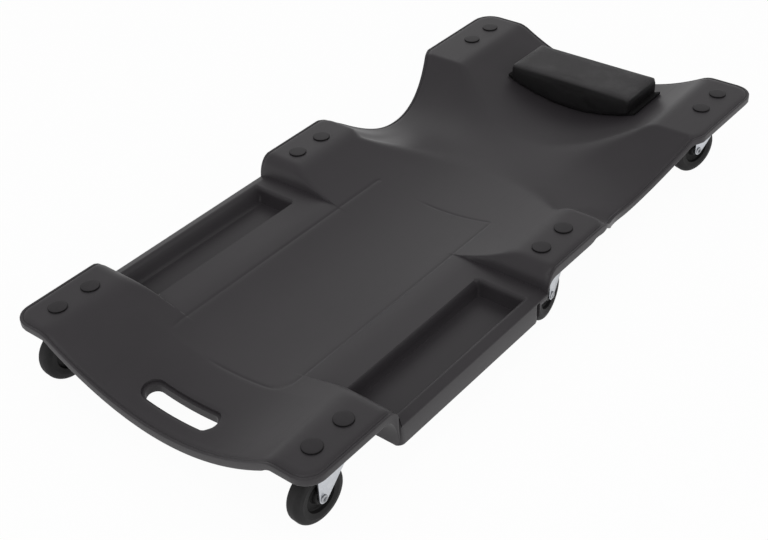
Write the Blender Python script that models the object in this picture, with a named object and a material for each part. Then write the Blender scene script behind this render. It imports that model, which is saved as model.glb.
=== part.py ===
"""Low mechanic creeper: a moulded deck on six swivel casters, with two tool trays and a head pillow.

The origin is on the floor under the middle of the deck. X runs from the foot end to the head end, Y to the
left of someone who faces the head end, and Z up. All sizes are in metres. Stations along the deck are
measured from its foot end, and heights in the deck's own mesh from the top of its caster pads.
"""

import math

import bmesh
import bpy
import numpy as np

# Deck outline
LENGTH = 1.019
FOOT_HALF_WIDTH = 0.2421
HEAD_HALF_WIDTH = 0.2486
FOOT_CORNER = 0.027
HEAD_CORNER = 0.031
DECK_THICKNESS = 0.014
PAD_THICKNESS = 0.012

# Edge of the deck: a rounded shoulder, then a narrow lip at the parting line; lower along the shelf
RIM_WIDTH = 0.0125
LIP_WIDTH = 0.0037
LIP_DROP = 0.0018
SHELF_LIP_DROP = 0.0034
LIP_ROUND = 0.0008

# Body cradle: depth under the pads on the centre line, and half width where it reaches pad height
FOOT_DEPTH = 0.058
PANEL_DEPTH = 0.0432
HEAD_DEPTH = 0.0506
CRADLE_HALF_WIDTH = 0.182
HEAD_CRADLE_HALF_WIDTH = 0.169
PANEL_START = 0.114 * LENGTH
PANEL_END = 0.5265 * LENGTH
FOOT_RISE_POWER = 1.25
CREASE_BLEND = 0.005

# Arm cut-outs: a dip across the deck, deeper by the droop at the casters' track, and a bite out of each edge
ARM_START = 0.5755 * LENGTH
ARM_END = 0.8258 * LENGTH
ARM_DIP = 0.0475
ARM_DROOP = 0.008
ARM_CUT = 0.0365
ARM_CUT_END = 0.8391 * LENGTH
ARM_FOOT_POWER = 1.5

# Shelf between the feet of the pads' walls, and the tool tray sunk into each side, whose outer wall leans out
SHELF_DROP = 0.0285
FOOT_PAD_END = 0.1438 * LENGTH
MID_PAD_START = 0.4254 * LENGTH
WALL_RUN = 0.020
TRAY_START = 0.1536 * LENGTH
TRAY_END = 0.4122 * LENGTH
TRAY_INNER = 0.1565
TRAY_RIM = 0.0130
TRAY_DEPTH = 0.0235
TRAY_FLOOR = 0.0105
TRAY_WALL = 0.006
TRAY_DRAFT = 0.003
TRAY_LEAN = 0.013
TRAY_CORNER = 0.005

# Hand slot at the foot end: its mouth, and the ledge that leaves a smaller hole through the deck
SLOT_INSET = 0.0275
SLOT_WIDTH = 0.033
SLOT_LENGTH = 0.120
SLOT_STEP = 0.0055
SLOT_LEDGE = 0.004

# Head pillow on its base board
PILLOW_STATION = 0.9146 * LENGTH
PILLOW_DEPTH = 0.088
PILLOW_WIDTH = 0.210
PILLOW_TOP_DROP = 0.003
PILLOW_ROUND = 0.004
BASE_THICKNESS = 0.004
BASE_OVERHANG = 0.009
BASE_INSET = 0.004
SCREW_SPACING = 0.044
SCREW_RADIUS = 0.002
SCREW_HEAD_RADIUS = 0.0045
SCREW_HEAD_HEIGHT = 0.0025
SCREW_BITE = 0.003

# Casters: where they stand, and which way each one trails in degrees from +X towards +Y
END_CASTER_INSET = 0.0702 * LENGTH
MID_CASTER_STATION = 0.5052 * LENGTH
CASTER_EDGE_INSET = 0.03835
CASTER_HALF_TRACK = (FOOT_HALF_WIDTH + HEAD_HALF_WIDTH) / 2 - CASTER_EDGE_INSET
HEADINGS = {
    "foot_left": 176.0,
    "foot_right": 176.0,
    "mid_left": 184.0,
    "mid_right": 188.0,
    "head_left": 170.0,
    "head_right": 163.0,
}

# Wheel and axle
WHEEL_RADIUS = 0.0375
WHEEL_WIDTH = 0.020
TREAD_FLAT = 0.006
TREAD_DROP = 0.004
WEB_RADIUS = 0.0210
WEB_THICKNESS = 0.009
WEB_SLOPE = 0.002
HUB_RADIUS = 0.009
HUB_WIDTH = 0.022
AXLE_RADIUS = 0.004
AXLE_HEAD_RADIUS = 0.0051
AXLE_HEAD_HEIGHT = 0.0015

# Fork, races and kingpin
TRAIL = 0.0275
FORK_SHEET = 0.0025
EYE_RADIUS = 0.0065
CROWN_BACK = 0.017
WHEEL_CLEARANCE = 0.004
HUB_CLEARANCE = 0.001
RACE_RADIUS = 0.016
RACE_HEIGHT = 0.0044
KINGPIN_RADIUS = 0.005
KINGPIN_HEAD_RADIUS = 0.009
KINGPIN_HEAD_HEIGHT = 0.0025
DIMPLE_CLEARANCE = 0.0015

# Caster plate, bolts and nuts
PLATE_LENGTH = 0.078
PLATE_WIDTH = 0.046
PLATE_SHEET = 0.0025
PLATE_CORNER = 0.008
BOLT_SPACING = 0.052
BOLT_RADIUS = 0.004
BOLT_HEAD_RADIUS = 0.0123
BOLT_HEAD_HEIGHT = 0.0017
BOLT_HEAD_EDGE = 0.0005
BOLT_END = 0.0008
NUT_ACROSS_FLATS = 0.013
NUT_HEIGHT = 0.0045

# Clearances: between faces that touch, round shanks and pins, and under the pillow's curved base
SEAT_GAP = 0.0003
BORE_CLEARANCE = 0.0003
CURVED_SEAT_GAP = 0.0006

# Facets of round pieces
WHEEL_SIDES = 20
PIN_SIDES = 12
CORNER_STEPS = 3

# Heights above the floor, built up from the wheel
TREAD_RADIUS = WHEEL_RADIUS / math.cos(math.pi / WHEEL_SIDES)
AXLE_Z = WHEEL_RADIUS
CROWN_UNDER_Z = AXLE_Z + TREAD_RADIUS + WHEEL_CLEARANCE
CROWN_TOP_Z = CROWN_UNDER_Z + FORK_SHEET
RACE_SPLIT_Z = CROWN_TOP_Z + RACE_HEIGHT
PLATE_UNDER_Z = RACE_SPLIT_Z + SEAT_GAP + RACE_HEIGHT
PLATE_TOP_Z = PLATE_UNDER_Z + PLATE_SHEET
PAD_TOP_Z = PLATE_TOP_Z + SEAT_GAP + PAD_THICKNESS

# Places that follow from the sizes above
ARM_CENTRE = (ARM_START + ARM_END) / 2
ARM_HALF_SPAN = (ARM_END - ARM_START) / 2
TRAY_FLOOR_DROP = SHELF_DROP + TRAY_DEPTH
TRAY_UNDER_DROP = TRAY_FLOOR_DROP + TRAY_FLOOR
TRAY_SHELL = TRAY_WALL + TRAY_DRAFT
BOX_START = TRAY_START - TRAY_SHELL
BOX_END = TRAY_END + TRAY_SHELL
BOX_SWEEP = BOX_START - END_CASTER_INSET - PLATE_LENGTH / 2 - PLATE_SHEET / 2
PLATE_SEAT_INNER = CASTER_HALF_TRACK - PLATE_WIDTH / 2 - SEAT_GAP
LEG_INNER = HUB_WIDTH / 2 + HUB_CLEARANCE
LEG_OUTER = LEG_INNER + FORK_SHEET
CASTER_STATIONS = {
    "foot": END_CASTER_INSET,
    "mid": MID_CASTER_STATION,
    "head": LENGTH - END_CASTER_INSET,
}
CASTER_SIDES = {"left": CASTER_HALF_TRACK, "right": -CASTER_HALF_TRACK}


# Shape of the deck

def ease(t):
    """Smooth step from 0 to 1."""
    t = np.clip(t, 0.0, 1.0)
    return t * t * (3.0 - 2.0 * t)


def wall_rise(t):
    """Rise of a pad's wall from the shelf: tight at its foot, well rounded at its top."""
    return 1.0 - (1.0 - np.clip(t, 0.0, 1.0) ** 2) ** 3


def smooth_min(a, b, blend):
    """Lower of two heights, with the crease between them rounded."""
    h = np.clip(0.5 + 0.5 * (b - a) / blend, 0.0, 1.0)
    return b + (a - b) * h - blend * h * (1.0 - h)


def cradle_height(s, y):
    """Trough that carries the body: a parabola across the deck whose depth changes along it."""
    foot = np.clip(1.0 - s / PANEL_START, 0.0, 1.0) ** FOOT_RISE_POWER
    head = ease((s - PANEL_END) / (ARM_END - PANEL_END))
    depth = PANEL_DEPTH + (FOOT_DEPTH - PANEL_DEPTH) * foot + (HEAD_DEPTH - PANEL_DEPTH) * head
    half = CRADLE_HALF_WIDTH + (HEAD_CRADLE_HALF_WIDTH - CRADLE_HALF_WIDTH) * head
    return depth * ((y / half) ** 2 - 1.0)


def shelf_share(s):
    """1 on the shelf between the foot and middle pads, 0 on the pads and beyond."""
    return 1.0 - wall_rise((FOOT_PAD_END - s) / WALL_RUN) - wall_rise((s - MID_PAD_START) / WALL_RUN)


def arm_bite(s):
    """Share of the bite out of each edge: quick to its full depth from the foot side, slower out to its end."""
    foot = np.clip((s - ARM_START) / ARM_HALF_SPAN, 0.0, 1.0)
    head = np.clip((s - ARM_CENTRE) / (ARM_CUT_END - ARM_CENTRE), 0.0, 1.0)
    return min(1.0 - (1.0 - foot ** ARM_FOOT_POWER) ** 3, 1.0 - head ** 2)


def side_height(s, y):
    """Pads at zero, the shelf between the foot and middle pads, and the dip at the arms."""
    dip = ARM_DIP + ARM_DROOP * (y / CASTER_HALF_TRACK) ** 2
    dip *= ((s - ARM_CENTRE) / ARM_HALF_SPAN) ** 2 - 1.0
    return smooth_min(-SHELF_DROP * shelf_share(s), dip, CREASE_BLEND)


def top_height(s, y):
    return smooth_min(cradle_height(s, y), side_height(s, y), CREASE_BLEND)


def under_height(s, y):
    """Underside: follows the top, flat at the caster plates, with a box under each tray whose ends curve up."""
    if abs(y) > PLATE_SEAT_INNER - SEAT_GAP:
        plain = side_height(s, y) - PAD_THICKNESS
    else:
        plain = top_height(s, y) - DECK_THICKNESS
    along = np.clip(min(s - BOX_START, BOX_END - s) / BOX_SWEEP + 1.0, 0.0, 1.0)
    sweep = 1.0 - math.sqrt(1.0 - along ** 2)
    inside = np.clip((abs(y) - TRAY_INNER + TRAY_SHELL) / TRAY_DRAFT, 0.0, 1.0)
    return min(plain, -PAD_THICKNESS - (TRAY_UNDER_DROP - PAD_THICKNESS) * sweep * inside)


def corner_loss(distance, radius):
    """How far a rounded corner lies inside the square one, at a distance from the end."""
    reach = np.clip(radius - distance, 0.0, radius)
    return radius - math.sqrt(radius ** 2 - reach ** 2)


def half_width(s):
    """Half width of the deck, without its end corners."""
    plain = FOOT_HALF_WIDTH + (HEAD_HALF_WIDTH - FOOT_HALF_WIDTH) * s / LENGTH
    return plain - ARM_CUT * arm_bite(s)


def field_half_width(s):
    """Half width of the deck's top inside its rim."""
    foot = corner_loss(s - RIM_WIDTH, FOOT_CORNER - RIM_WIDTH)
    head = corner_loss(LENGTH - RIM_WIDTH - s, HEAD_CORNER - RIM_WIDTH)
    return half_width(s) - RIM_WIDTH - foot - head


def deck_stations():
    """Stations of the deck's grid, closer together where its height changes fast."""
    wall = np.array((0.0, 0.25, 0.45, 0.65, 1.0)) * WALL_RUN
    sweep = np.array((0.0, 0.05, 0.2, 0.5, 1.0)) * BOX_SWEEP
    foot_round = (FOOT_CORNER - RIM_WIDTH) * np.array((0.0, 0.12, 0.4, 1.0))
    head_round = (HEAD_CORNER - RIM_WIDTH) * np.array((1.0, 0.4, 0.12, 0.0))
    stations = [
        RIM_WIDTH + foot_round,
        np.linspace(FOOT_CORNER, BOX_START - BOX_SWEEP, 4)[1:-1],
        BOX_START - sweep,
        FOOT_PAD_END - wall,
        np.linspace(TRAY_START, TRAY_END, 4)[1:-1],
        MID_PAD_START + wall,
        BOX_END + sweep,
        np.linspace(BOX_END + BOX_SWEEP, ARM_START - CREASE_BLEND, 4)[1:],
        np.linspace(ARM_START, ARM_END, 16),
        np.linspace(ARM_CUT_END, LENGTH - HEAD_CORNER, 4)[:-1],
        LENGTH - RIM_WIDTH - head_round,
    ]
    return np.unique(np.concatenate(stations).round(5))


def cradle_lines():
    """Fixed lines along the deck, as distances from the centre line."""
    inside = CRADLE_HALF_WIDTH * np.array((0.0, 0.16, 0.33, 0.47, 0.54, 0.63, 0.74))
    tray = np.array((TRAY_INNER - TRAY_SHELL, TRAY_INNER - TRAY_WALL))
    crease = np.array((0.91 * CRADLE_HALF_WIDTH, 0.97 * CRADLE_HALF_WIDTH, PLATE_SEAT_INNER))
    return np.unique(np.concatenate((inside, tray, crease)).round(5))


def across(s):
    """Distances from the centre line of the grid's points at one station, both sides."""
    fixed = cradle_lines()
    edge = field_half_width(s)
    half = np.concatenate((fixed * min(1.0, 0.9 * edge / fixed[-1]), [(fixed[-1] + edge) / 2, edge]))
    half.sort()
    return np.concatenate((-half[:0:-1], half))


def sheet(bm, stations, height):
    """Grid of vertices at the given height over the deck's plan, with its faces."""
    rows = [[bm.verts.new((s - LENGTH / 2, y, height(s, y))) for y in across(s)] for s in stations]
    for low, high in zip(rows, rows[1:]):
        for j in range(len(low) - 1):
            bm.faces.new((low[j], high[j], high[j + 1], low[j + 1]))
    return rows


def boundary(rows):
    """Outer vertices of a sheet, in order round it."""
    right = [row[0] for row in rows]
    left = [row[-1] for row in rows]
    return right + rows[-1][1:-1] + left[::-1] + rows[0][-2:0:-1]


def outward_normals(ring):
    """Plan direction out of each corner of a ring, long enough to offset both its edges by one."""
    points = np.array([vert.co[:2] for vert in ring])
    along = np.roll(points, -1, axis=0) - points
    along /= np.linalg.norm(along, axis=1)[:, None]
    normal = np.stack((along[:, 1], -along[:, 0]), axis=1)
    both = normal + np.roll(normal, 1, axis=0)
    return 2.0 * both / (both ** 2).sum(axis=1)[:, None]


def join_rings(bm, first, second):
    count = len(first)
    for i in range(count):
        n = (i + 1) % count
        bm.faces.new((first[i], first[n], second[n], second[i]))


def deck_mesh():
    bm = bmesh.new()
    stations = deck_stations()
    top = boundary(sheet(bm, stations, top_height))
    under = boundary(sheet(bm, stations, under_height))
    out = outward_normals(top)
    shoulder = RIM_WIDTH - LIP_WIDTH
    angles = np.radians((35.0, 65.0, 90.0))
    rim = [(shoulder * math.sin(a), 1.0 - math.cos(a), 0.0, top) for a in angles]
    rim.append((RIM_WIDTH, 1.0, LIP_ROUND, top))
    rim.append((RIM_WIDTH, 0.0, -LIP_ROUND, under))
    rim.append((RIM_WIDTH - LIP_ROUND, 0.0, 0.0, under))
    previous = top
    for offset, lip, drop, level in rim:
        ring = []
        for vert, normal in zip(level, out):
            x, y, z = vert.co
            z -= drop + lip * (LIP_DROP + (SHELF_LIP_DROP - LIP_DROP) * shelf_share(x + LENGTH / 2))
            ring.append(bm.verts.new((x + offset * normal[0], y + offset * normal[1], z)))
        join_rings(bm, previous, ring)
        previous = ring
    join_rings(bm, previous, under)
    return finish(bm, "deck")


# General modelling helpers

def finish(bm, name):
    """Turn a bmesh into a mesh whose faces all point out."""
    bmesh.ops.remove_doubles(bm, verts=bm.verts, dist=1e-6)
    bmesh.ops.recalc_face_normals(bm, faces=bm.faces)
    mesh = bpy.data.meshes.new(name)
    bm.to_mesh(mesh)
    bm.free()
    return mesh


def loft(bm, loops, closed=False):
    """Skin through loops of equally many points; ends are capped unless the loops close on themselves."""
    rings = [[bm.verts.new(point) for point in loop] for loop in loops]
    for first, second in zip(rings, rings[1:]):
        join_rings(bm, first, second)
    if closed:
        join_rings(bm, rings[-1], rings[0])
    else:
        bm.faces.new(rings[0])
        bm.faces.new(rings[-1])


def turned(bm, profile, sides, closed=False):
    """Body of revolution about Z from (radius, height) pairs, with a flat facing +X."""
    start = math.pi / sides
    verts = [bm.verts.new((r * math.cos(start), r * math.sin(start), z)) for r, z in profile]
    pairs = list(zip(verts, verts[1:]))
    if closed:
        pairs.append((verts[-1], verts[0]))
    edges = [bm.edges.new(pair) for pair in pairs]
    bmesh.ops.spin(bm, geom=verts + edges, cent=(0, 0, 0), axis=(0, 0, 1), angle=2 * math.pi,
                   steps=sides, use_merge=True)


def turned_mesh(name, profile, sides, closed=False, along_y=False):
    bm = bmesh.new()
    turned(bm, profile, sides, closed)
    if along_y:
        for vert in bm.verts:
            x, y, z = vert.co
            vert.co = (y, z, x)
    return finish(bm, name)


def pin_cutter(bm, x, y, z_low, z_high, radius):
    """Upright prism that leaves a round hole of at least the given radius."""
    ring = radius / math.cos(math.pi / PIN_SIDES)
    angles = 2 * math.pi * (np.arange(PIN_SIDES) + 0.5) / PIN_SIDES
    plan = [(x + ring * math.cos(a), y + ring * math.sin(a)) for a in angles]
    loft(bm, [[(px, py, z) for px, py in plan] for z in (z_low, z_high)])


def rounded_rectangle(x0, x1, y0, y1, radius, steps=CORNER_STEPS):
    """Plan points of a rectangle with round corners."""
    corners = ((x1, y1, 0.0), (x0, y1, 90.0), (x0, y0, 180.0), (x1, y0, 270.0))
    points = []
    for x, y, first in corners:
        cx = x - math.copysign(radius, x - (x0 + x1) / 2)
        cy = y - math.copysign(radius, y - (y0 + y1) / 2)
        for angle in np.radians(np.linspace(first, first + 90.0, steps + 1)):
            points.append((cx + radius * math.cos(angle), cy + radius * math.sin(angle)))
    return points


def at_height(plan, z):
    return [(x, y, z) for x, y in plan]


def boolean(obj, cutter_mesh, operation):
    """Cut or join a helper mesh on an object; the helper stays as a hidden wire."""
    helper = bpy.data.objects.new(cutter_mesh.name, cutter_mesh)
    bpy.context.collection.objects.link(helper)
    helper.parent = obj
    helper.hide_render = True
    helper.display_type = "WIRE"
    modifier = obj.modifiers.new(cutter_mesh.name, "BOOLEAN")
    modifier.operation = operation
    modifier.solver = "EXACT"
    modifier.object = helper
    return helper


def carved(mesh, steps):
    """Mesh left after a list of (helper mesh, operation) steps, with the helpers removed."""
    body = bpy.data.objects.new(mesh.name, mesh)
    bpy.context.collection.objects.link(body)
    helpers = [boolean(body, helper, operation) for helper, operation in steps]
    evaluated = body.evaluated_get(bpy.context.evaluated_depsgraph_get())
    result = bpy.data.meshes.new_from_object(evaluated)
    for obj in [body] + helpers:
        bpy.data.objects.remove(obj)
    return result


def material(name, colour, roughness, metallic=0.0):
    made = bpy.data.materials.new(name)
    made.use_nodes = True
    shader = made.node_tree.nodes["Principled BSDF"]
    shader.inputs["Base Color"].default_value = (*colour, 1.0)
    shader.inputs["Roughness"].default_value = roughness
    shader.inputs["Metallic"].default_value = metallic
    return made


def place(name, mesh, finish_material, parent=None, location=(0.0, 0.0, 0.0)):
    """Named object with its own material slot, shaded smooth except at sharp edges."""
    obj = bpy.data.objects.new(name, mesh)
    bpy.context.collection.objects.link(obj)
    if not mesh.materials:
        mesh.materials.append(finish_material)
    mesh.shade_smooth()
    mesh.set_sharp_from_angle(angle=math.radians(35.0))
    obj.parent = parent
    obj.location = location
    return obj


def empty(name, parent, location, heading=0.0):
    made = bpy.data.objects.new(name, None)
    bpy.context.collection.objects.link(made)
    made.parent = parent
    made.location = location
    made.rotation_euler = (0.0, 0.0, math.radians(heading))
    return made


# Cuts in the deck

def tray_cutter(bm, side):
    """Tool tray with drafted walls and a rounded foot, on one side of the deck."""
    outer = half_width(TRAY_START) - TRAY_RIM
    levels = (
        (TRAY_DRAFT * 1.6, TRAY_LEAN, -TRAY_FLOOR_DROP),
        (TRAY_DRAFT, TRAY_LEAN * (1.0 - TRAY_DRAFT / TRAY_DEPTH), -TRAY_FLOOR_DROP + TRAY_DRAFT),
        (0.0, 0.0, -SHELF_DROP),
        (0.0, 0.0, 0.0),
    )
    loops = []
    for inset, lean, z in levels:
        x0, x1 = TRAY_START + inset - LENGTH / 2, TRAY_END - inset - LENGTH / 2
        plan = rounded_rectangle(x0, x1, TRAY_INNER + inset, outer - lean, TRAY_CORNER)
        loops.append([(x, side * y, z) for x, y in plan])
    loft(bm, loops)


def slot_plan(inset):
    """Stations and distances from the centre line round the hand slot, set in from its mouth."""
    radius = SLOT_WIDTH / 2 - inset
    reach = (SLOT_LENGTH - SLOT_WIDTH) / 2
    centre = SLOT_INSET + SLOT_WIDTH / 2
    points = []
    for side in (1, -1):
        for a in np.radians(np.linspace(0.0, 180.0, 7)):
            points.append((centre + side * radius * math.cos(a), side * (reach + radius * math.sin(a))))
        for along in np.linspace(reach, -reach, 6)[1:-1]:
            points.append((centre - side * radius, side * along))
    return points


def slot_cutter(bm):
    """Hand slot with round ends: a mouth down to a ledge that follows the deck, then a smaller hole."""
    mouth, hole = slot_plan(0.0), slot_plan(SLOT_LEDGE)
    low = -FOOT_DEPTH - 2 * DECK_THICKNESS
    loops = [
        [(s, y, low) for s, y in hole],
        [(s, y, top_height(s, y) - SLOT_STEP) for s, y in hole],
        [(s, y, top_height(s, y) - SLOT_STEP) for s, y in mouth],
        [(s, y, 0.0) for s, y in mouth],
    ]
    loft(bm, [[(s - LENGTH / 2, y, z) for s, y, z in loop] for loop in loops])


def screw_stations():
    return (PILLOW_STATION - SCREW_SPACING / 2, PILLOW_STATION + SCREW_SPACING / 2)


def caster_places():
    """Name, X and Y of each caster's swivel axis."""
    for end, station in CASTER_STATIONS.items():
        for side, y in CASTER_SIDES.items():
            yield f"{end}_{side}", station - LENGTH / 2, y


def deck_cuts():
    bm = bmesh.new()
    for side in (-1, 1):
        tray_cutter(bm, side)
    slot_cutter(bm)
    for _, x, y in caster_places():
        for along in (-BOLT_SPACING / 2, BOLT_SPACING / 2):
            pin_cutter(bm, x + along, y, -2 * DECK_THICKNESS, DECK_THICKNESS, BOLT_RADIUS + BORE_CLEARANCE)
    for s in screw_stations():
        low = -HEAD_DEPTH - 2 * DECK_THICKNESS
        pin_cutter(bm, s - LENGTH / 2, 0.0, low, 0.0, SCREW_RADIUS + BORE_CLEARANCE)
    return finish(bm, "deck_cuts")


# Pillow, its base board and screws

def base_under(y):
    return top_height(PILLOW_STATION, y) + CURVED_SEAT_GAP


def base_top(y):
    return base_under(y) + BASE_THICKNESS


def lines_within(half):
    """The deck's own lines inside a half width, both sides, ending at that half width."""
    lines = [y for y in cradle_lines() if y < half - PILLOW_ROUND * 1.2]
    return np.concatenate(([-half], [-y for y in lines[:0:-1]], lines, [half]))


def pillow_base_mesh():
    """Thin board bent to the cradle, a little wider than the cushion."""
    x0 = PILLOW_STATION - PILLOW_DEPTH / 2 + BASE_INSET - LENGTH / 2
    x1 = x0 + PILLOW_DEPTH - 2 * BASE_INSET
    bm = bmesh.new()
    sections = []
    for y in lines_within(PILLOW_WIDTH / 2 + BASE_OVERHANG):
        low, high = base_under(y), base_top(y)
        sections.append([(x0, y, low), (x1, y, low), (x1, y, high), (x0, y, high)])
    loft(bm, sections)
    board = finish(bm, "pillow_base")
    holes = bmesh.new()
    for s in screw_stations():
        low, high = base_under(0.0) - BASE_THICKNESS, base_top(0.0) + BASE_THICKNESS
        pin_cutter(holes, s - LENGTH / 2, 0.0, low, high, SCREW_RADIUS + BORE_CLEARANCE)
    return carved(board, [(finish(holes, "pillow_base_holes"), "DIFFERENCE")])


def pillow_mesh():
    """Cushion: flat on top with rounded edges, and bent to the cradle underneath."""
    half = PILLOW_WIDTH / 2
    x0 = PILLOW_STATION - PILLOW_DEPTH / 2 - LENGTH / 2
    x1 = x0 + PILLOW_DEPTH
    bm = bmesh.new()
    inner = lines_within(half)[1:-1]
    ends = (half - PILLOW_ROUND, half - PILLOW_ROUND * 0.3, half)
    lines = np.concatenate(([-y for y in ends[::-1]], inner, ends))
    sections = []
    for y in lines:
        past = min(1.0, max(0.0, abs(y) - (half - PILLOW_ROUND)) / PILLOW_ROUND)
        sunk = PILLOW_ROUND * (1.0 - math.sqrt(1.0 - past ** 2))
        low = base_top(y) + SEAT_GAP
        high = -PILLOW_TOP_DROP - sunk
        a, b, r = x0 + 0.5 * sunk, x1 - 0.5 * sunk, PILLOW_ROUND * (1.0 - 0.5 * past)
        sections.append([(x, y, z) for x, z in (
            (a, low), (b, low), (b, high - r), (b - 0.3 * r, high - 0.3 * r), (b - r, high),
            (a + r, high), (a + 0.3 * r, high - 0.3 * r), (a, high - r))])
    loft(bm, sections)
    return finish(bm, "pillow_cushion")


def screw_mesh():
    """Pan-head screw, point up, with its origin under the head's seat on the deck."""
    length = SEAT_GAP + DECK_THICKNESS + CURVED_SEAT_GAP + SCREW_BITE
    r, edge = SCREW_HEAD_RADIUS, 0.4 * SCREW_HEAD_HEIGHT
    profile = ((0.0, -SCREW_HEAD_HEIGHT), (0.7 * r, -SCREW_HEAD_HEIGHT), (r, -edge), (r, 0.0),
               (SCREW_RADIUS, 0.0), (SCREW_RADIUS, length - SCREW_RADIUS), (0.0, length))
    return turned_mesh("pillow_screw", profile, PIN_SIDES)


# Caster pieces; their meshes stand on the floor under the swivel axis and trail towards +X

def plate_mesh():
    """Flat plate with a race pressed down from it and a dimple above for the kingpin's head."""
    bm = bmesh.new()
    plan = rounded_rectangle(-PLATE_LENGTH / 2, PLATE_LENGTH / 2, -PLATE_WIDTH / 2, PLATE_WIDTH / 2, PLATE_CORNER)
    loft(bm, [at_height(plan, z) for z in (PLATE_UNDER_Z, PLATE_TOP_Z)])
    plate = finish(bm, "caster_plate")
    foot, middle = PLATE_UNDER_Z - RACE_HEIGHT, PLATE_UNDER_Z + PLATE_SHEET / 2
    race = turned_mesh("race", ((0.0, middle), (RACE_RADIUS, middle), (RACE_RADIUS, foot + RACE_HEIGHT / 3),
                                (RACE_RADIUS - RACE_HEIGHT / 3, foot), (0.0, foot)), PIN_SIDES)
    holes = bmesh.new()
    for x in (-BOLT_SPACING / 2, BOLT_SPACING / 2):
        pin_cutter(holes, x, 0.0, foot, PLATE_TOP_Z + PLATE_SHEET, BOLT_RADIUS + BORE_CLEARANCE)
    bore, dimple = KINGPIN_RADIUS + BORE_CLEARANCE, KINGPIN_HEAD_RADIUS + DIMPLE_CLEARANCE
    floor, above = PLATE_TOP_Z - KINGPIN_HEAD_HEIGHT - 2 * SEAT_GAP, PLATE_TOP_Z + PLATE_SHEET
    pin_cutter(holes, 0.0, 0.0, foot - PLATE_SHEET, floor + PLATE_SHEET / 2, bore)
    cuts = finish(holes, "plate_holes")
    dimple_bm = bmesh.new()
    pin_cutter(dimple_bm, 0.0, 0.0, floor, above, dimple)
    return carved(plate, [(race, "UNION"), (cuts, "DIFFERENCE"), (finish(dimple_bm, "dimple"), "DIFFERENCE")])


def kingpin_mesh():
    """Rivet: upper head in the plate's dimple, lower head closed under the crown."""
    seat = PLATE_TOP_Z - KINGPIN_HEAD_HEIGHT - SEAT_GAP
    low = CROWN_UNDER_Z - SEAT_GAP
    r, h = KINGPIN_HEAD_RADIUS, KINGPIN_HEAD_HEIGHT
    profile = ((0.0, seat + h), (r, seat + h), (r, seat), (KINGPIN_RADIUS, seat), (KINGPIN_RADIUS, low),
               (0.85 * r, low), (0.6 * r, low - h), (0.0, low - h))
    return turned_mesh("kingpin", profile, PIN_SIDES)


def fork_mesh():
    """Pressed fork: crown under the plate, two tapered legs down to the axle, and the lower race."""
    front = TRAIL + EYE_RADIUS
    eye = [(TRAIL + EYE_RADIUS * math.cos(a), AXLE_Z + EYE_RADIUS * math.sin(a))
           for a in np.radians(np.linspace(0.0, -150.0, 6))]
    outline = [(front, CROWN_TOP_Z)] + eye + [(-CROWN_BACK, CROWN_UNDER_Z - FORK_SHEET), (-CROWN_BACK, CROWN_TOP_Z)]
    bm = bmesh.new()
    loft(bm, [[(x, y, z) for x, z in outline] for y in (-LEG_OUTER, LEG_OUTER)])
    block = finish(bm, "caster_fork")
    inside = bmesh.new()
    reach = 2 * (front + CROWN_BACK)
    plan = ((reach, LEG_INNER), (-reach, LEG_INNER), (-reach, -LEG_INNER), (reach, -LEG_INNER))
    loft(inside, [at_height(plan, z) for z in (-AXLE_Z, CROWN_UNDER_Z)])
    race = turned_mesh("lower_race", ((0.0, RACE_SPLIT_Z), (RACE_RADIUS - RACE_HEIGHT / 3, RACE_SPLIT_Z),
                                      (RACE_RADIUS, RACE_SPLIT_Z - RACE_HEIGHT / 3),
                                      (RACE_RADIUS, CROWN_TOP_Z - FORK_SHEET / 2),
                                      (0.0, CROWN_TOP_Z - FORK_SHEET / 2)), PIN_SIDES)
    bore = bmesh.new()
    pin_cutter(bore, 0.0, 0.0, AXLE_Z, PLATE_TOP_Z, KINGPIN_RADIUS + BORE_CLEARANCE)
    ring = (AXLE_RADIUS + BORE_CLEARANCE) / math.cos(math.pi / PIN_SIDES)
    axle_hole = turned_mesh("axle_hole", ((0.0, 2 * LEG_OUTER), (ring, 2 * LEG_OUTER), (ring, -2 * LEG_OUTER),
                                          (0.0, -2 * LEG_OUTER)), PIN_SIDES, along_y=True)
    for vert in axle_hole.vertices:
        vert.co.x += TRAIL
        vert.co.z += AXLE_Z
    return carved(block, [
        (finish(inside, "fork_inside"), "DIFFERENCE"),
        (race, "UNION"),
        (finish(bore, "kingpin_bore"), "DIFFERENCE"),
        (axle_hole, "DIFFERENCE"),
    ])


def wheel_mesh():
    """One-piece wheel: bored hub, recessed web and a rounded tread; its own axis runs along Y."""
    scale = TREAD_RADIUS / WHEEL_RADIUS
    bore = (AXLE_RADIUS + BORE_CLEARANCE) / math.cos(math.pi / WHEEL_SIDES)
    half = [
        (bore, HUB_WIDTH / 2),
        (HUB_RADIUS, HUB_WIDTH / 2),
        (HUB_RADIUS + WEB_SLOPE, WEB_THICKNESS / 2),
        (WEB_RADIUS - WEB_SLOPE, WEB_THICKNESS / 2),
        (WEB_RADIUS, WHEEL_WIDTH / 2),
        (TREAD_RADIUS - TREAD_DROP * scale, WHEEL_WIDTH / 2 - 0.15 * TREAD_DROP),
        (TREAD_RADIUS - 0.25 * TREAD_DROP * scale, (WHEEL_WIDTH + TREAD_FLAT) / 4),
        (TREAD_RADIUS, TREAD_FLAT / 2),
    ]
    profile = half + [(r, -z) for r, z in half[::-1]]
    return turned_mesh("wheel", profile, WHEEL_SIDES, closed=True, along_y=True)


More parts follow.
